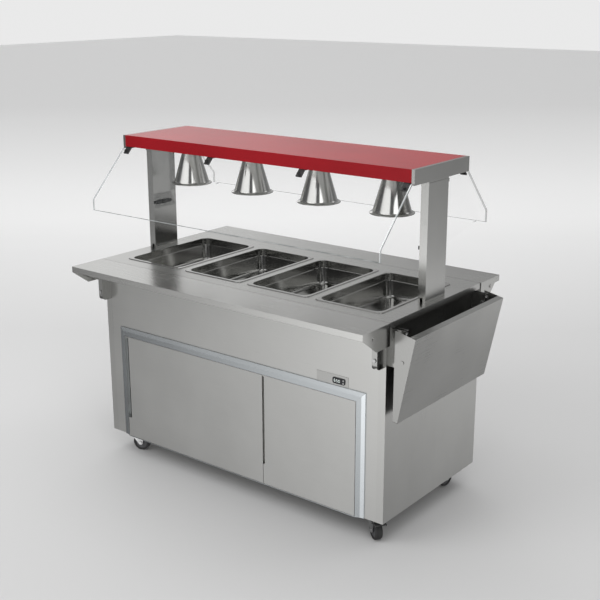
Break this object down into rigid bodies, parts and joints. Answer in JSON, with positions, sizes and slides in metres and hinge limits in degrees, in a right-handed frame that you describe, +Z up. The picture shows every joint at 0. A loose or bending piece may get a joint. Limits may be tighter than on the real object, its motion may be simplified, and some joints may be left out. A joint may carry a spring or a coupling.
{
  "type": "steam table unit",
  "caption": "Mobile heated serving counter: deep pans in a water bath, lamp canopy on posts, clear guards, folding shelves, hot cupboard with doors and swivel casters.",
  "frame": {"origin": "on the floor, under the middle of the whole unit's bounding box", "axes": "+X along the counter towards the end shelf, -Y towards the side with the cupboard doors, +Z up"},
  "size_m": [1.6824, 1.031, 1.486],
  "materials": {
    "top_steel": "satin stainless",
    "body_steel": "brushed stainless",
    "door_steel": "brushed stainless",
    "trim_steel": "brushed stainless",
    "shelf_steel": "brushed stainless",
    "bracket_steel": "brushed stainless",
    "post_steel": "brushed stainless",
    "cap_steel": "brushed stainless",
    "liner_steel": "mill-finish sheet",
    "frame_steel": "galvanised",
    "red_enamel": "gloss enamel",
    "pan_steel": "bright stainless",
    "shade_polish": "spun and polished",
    "clear_sheet": "clear, polished edges",
    "clip_metal": "satin",
    "zinc": "zinc plated",
    "hub_plastic": "moulded",
    "tyre_rubber": "solid rubber",
    "pedal_plastic": "moulded",
    "black_plastic": "fine texture",
    "window_plastic": "polished",
    "button_plastic": "fine texture",
    "ceramic": null,
    "bulb_glass": "frosted inside",
    "mineral_wool": "fibrous",
    "heater_sheath": "dark oxide",
    "copper_pipe": "drawn copper",
    "valve_brass": "machined",
    "lever_paint": "dipped red grip"
  },
  "bodies": {
    "cabinet": {"counter_top": "top_steel", "bath_tank": "liner_steel", "bath_heaters": "heater_sheath", "drain_pipe": "copper_pipe", "drain_valve": "valve_brass", "front_panel": "body_steel", "door_surround": "trim_steel", "end_panels": "body_steel", "rear_panel": "body_steel", "corner_posts": "body_steel", "base_frame": "frame_steel", "cupboard_liner": "liner_steel", "inner_shelf": "liner_steel", "cupboard_heater": "heater_sheath", "insulation": "mineral_wool", "control_plate": "trim_steel", "controller_body": "black_plastic", "display_window": "window_plastic", "canopy_shell": "red_enamel", "canopy_end_caps": "cap_steel", "canopy_tray": "liner_steel", "posts": "post_steel", "lamp_holders": "ceramic", "lamp_bulbs": "bulb_glass", "lamp_shades": "shade_polish", "front_guard": "clear_sheet", "rear_guard": "clear_sheet", "guard_clips": "clip_metal", "wing_clamps": "clip_metal", "shelf_brackets": "bracket_steel", "pivot_bolts": "zinc", "bracket_bolts": "zinc", "caster_plates": "zinc", "power_inlet": "black_plastic"},
    "pan_1": {"pan_1": "pan_steel"},
    "pan_2": {"pan_2": "pan_steel"},
    "pan_3": {"pan_3": "pan_steel"},
    "pan_4": {"pan_4": "pan_steel"},
    "door_left": {"door_left": "door_steel"},
    "door_right": {"door_right": "door_steel"},
    "front_shelf": {"front_shelf": "shelf_steel"},
    "rear_shelf": {"rear_shelf": "shelf_steel"},
    "end_shelf": {"end_shelf": "shelf_steel"},
    "drain_lever": {"drain_lever": "lever_paint"},
    "up_button": {"up_button": "button_plastic"},
    "down_button": {"down_button": "button_plastic"},
    "caster_1": {"caster_fork_1": "zinc"},
    "wheel_1": {"caster_tyre_1": "tyre_rubber", "caster_hub_1": "hub_plastic"},
    "pedal_1": {"brake_pedal_1": "pedal_plastic"},
    "caster_2": {"caster_fork_2": "zinc"},
    "wheel_2": {"caster_tyre_2": "tyre_rubber", "caster_hub_2": "hub_plastic"},
    "pedal_2": {"brake_pedal_2": "pedal_plastic"},
    "caster_3": {"caster_fork_3": "zinc"},
    "wheel_3": {"caster_tyre_3": "tyre_rubber", "caster_hub_3": "hub_plastic"},
    "caster_4": {"caster_fork_4": "zinc"},
    "wheel_4": {"caster_tyre_4": "tyre_rubber", "caster_hub_4": "hub_plastic"}
  },
  "joints": [
    {"name": "pan_1_lift", "type": "slide", "parent": "cabinet", "child": "pan_1", "axis": [0, 0, 1], "range_m": [0, 0.15]},
    {"name": "pan_2_lift", "type": "slide", "parent": "cabinet", "child": "pan_2", "axis": [0, 0, 1], "range_m": [0, 0.15]},
    {"name": "pan_3_lift", "type": "slide", "parent": "cabinet", "child": "pan_3", "axis": [0, 0, 1], "range_m": [0, 0.15]},
    {"name": "pan_4_lift", "type": "slide", "parent": "cabinet", "child": "pan_4", "axis": [0, 0, 1], "range_m": [0, 0.15]},
    {"name": "door_left_hinge", "type": "hinge", "parent": "cabinet", "child": "door_left", "pos_m": [0.11393, -0.346, 0.35], "axis": [0, 0, 1], "range_deg": [0, 90]},
    {"name": "door_right_hinge", "type": "hinge", "parent": "cabinet", "child": "door_right", "pos_m": [0.58563, -0.346, 0.35], "axis": [0, 0, 1], "range_deg": [0, 90]},
    {"name": "front_shelf_fold", "type": "hinge", "parent": "cabinet", "child": "front_shelf", "pos_m": [-0.05217, -0.3725, 0.871], "axis": [1, 0, 0], "range_deg": [0, 101.5]},
    {"name": "rear_shelf_fold", "type": "hinge", "parent": "cabinet", "child": "rear_shelf", "pos_m": [-0.05217, 0.4195, 0.871], "axis": [-1, 0, 0], "range_deg": [0, 101.5]},
    {"name": "end_shelf_fold", "type": "hinge", "parent": "cabinet", "child": "end_shelf", "pos_m": [0.76833, 0.008, 0.871], "axis": [0, -1, 0], "range_deg": [0, 101.5]},
    {"name": "drain_lever_turn", "type": "hinge", "parent": "cabinet", "child": "drain_lever", "pos_m": [0.36783, 0.064, 0.53], "axis": [0, 1, 0], "range_deg": [0, 90]},
    {"name": "up_button_press", "type": "slide", "parent": "cabinet", "child": "up_button", "axis": [0, 1, 0], "range_m": [0, 0.001], "stiffness_N_per_m": 200, "springref_m": -0.002},
    {"name": "down_button_press", "type": "slide", "parent": "cabinet", "child": "down_button", "axis": [0, 1, 0], "range_m": [0, 0.001], "stiffness_N_per_m": 200, "springref_m": -0.002},
    {"name": "caster_1_swivel", "type": "hinge", "parent": "cabinet", "child": "caster_1", "pos_m": [-0.73617, -0.27, 0.09], "axis": [0, 0, 1], "continuous": true},
    {"name": "wheel_1_roll", "type": "hinge", "parent": "caster_1", "child": "wheel_1", "pos_m": [-0.70954, -0.26135, 0.04], "axis": [-0.309, 0.9511, 0], "continuous": true},
    {"name": "pedal_1_step", "type": "hinge", "parent": "caster_1", "child": "pedal_1", "pos_m": [-0.69812, -0.25764, 0.082], "axis": [-0.309, 0.9511, 0], "range_deg": [0, 12]},
    {"name": "caster_2_swivel", "type": "hinge", "parent": "cabinet", "child": "caster_2", "pos_m": [0.63183, -0.27, 0.09], "axis": [0, 0, 1], "continuous": true},
    {"name": "wheel_2_roll", "type": "hinge", "parent": "caster_2", "child": "wheel_2", "pos_m": [0.65477, -0.28606, 0.04], "axis": [0.5736, 0.8192, 0], "continuous": true},
    {"name": "pedal_2_step", "type": "hinge", "parent": "caster_2", "child": "pedal_2", "pos_m": [0.6646, -0.29294, 0.082], "axis": [0.5736, 0.8192, 0], "range_deg": [0, 12]},
    {"name": "caster_3_swivel", "type": "hinge", "parent": "cabinet", "child": "caster_3", "pos_m": [0.63183, 0.318, 0.09], "axis": [0, 0, 1], "continuous": true},
    {"name": "wheel_3_roll", "type": "hinge", "parent": "caster_3", "child": "wheel_3", "pos_m": [0.62697, 0.29043, 0.04], "axis": [0.9848, -0.1736, 0], "continuous": true},
    {"name": "caster_4_swivel", "type": "hinge", "parent": "cabinet", "child": "caster_4", "pos_m": [-0.73617, 0.318, 0.09], "axis": [0, 0, 1], "continuous": true},
    {"name": "wheel_4_roll", "type": "hinge", "parent": "caster_4", "child": "wheel_4", "pos_m": [-0.76041, 0.332, 0.04], "axis": [-0.5, -0.866, 0], "continuous": true}
  ]
}
